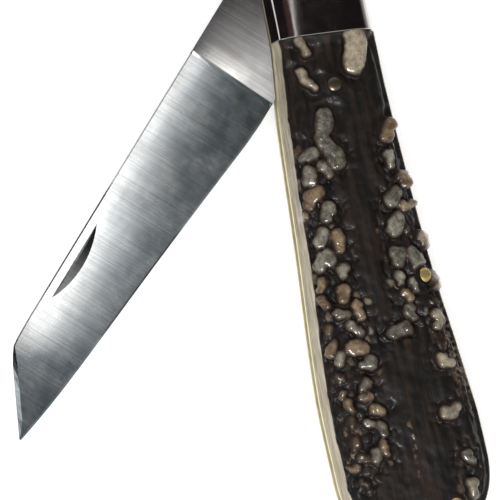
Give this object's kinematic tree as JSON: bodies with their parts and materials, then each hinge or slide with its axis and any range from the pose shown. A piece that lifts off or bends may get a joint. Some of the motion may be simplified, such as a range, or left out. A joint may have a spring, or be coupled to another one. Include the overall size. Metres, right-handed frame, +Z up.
{
  "type": "whittling knife",
  "caption": "Folding whittling pocket knife: straight-edged lambfoot blade on a backspring, stag antler scales, polished bolsters and brass liners.",
  "frame": {"origin": "point of the pivot axis on the surface that the knife lies on, at the flat crown of the pile side bolster", "axes": "+X along the handle to its butt, +Y to the back of the handle, -Y to the slot that the blade folds into, +Z up from the pile side to the mark side"},
  "size_m": [0.1015, 0.0723, 0.0142],
  "materials": {
    "blade_steel": "fine cross-ground satin with a buffed haze",
    "spring_steel": "ground satin",
    "brass": "hand finished",
    "pin_brass": "peened and polished",
    "nickel_silver": "mirror polished",
    "stag_antler": "natural antler bark, burnt dark, nodules polished to bone and lacquered"
  },
  "bodies": {
    "handle": {"backspring": "spring_steel", "mark_side_liner": "brass", "pile_side_liner": "brass", "mark_side_bolster": "nickel_silver", "pile_side_bolster": "nickel_silver", "mark_side_bolster_rivet_1": "nickel_silver", "mark_side_bolster_rivet_2": "nickel_silver", "pile_side_bolster_rivet_1": "nickel_silver", "pile_side_bolster_rivet_2": "nickel_silver", "mark_side_scale": "stag_antler", "pile_side_scale": "stag_antler", "mark_side_scale_pin": "nickel_silver", "pile_side_scale_pin": "nickel_silver", "pivot_pin": "nickel_silver", "spring_centre_pin": "pin_brass", "spring_end_pin": "pin_brass"},
    "blade": {"blade": "blade_steel"}
  },
  "joints": [
    {"name": "blade_pivot", "type": "hinge", "parent": "handle", "child": "blade", "pos_m": [0, 0, 0.0071], "axis": [0, 0, -1], "range_deg": [-37.4, 137.1]}
  ]
}
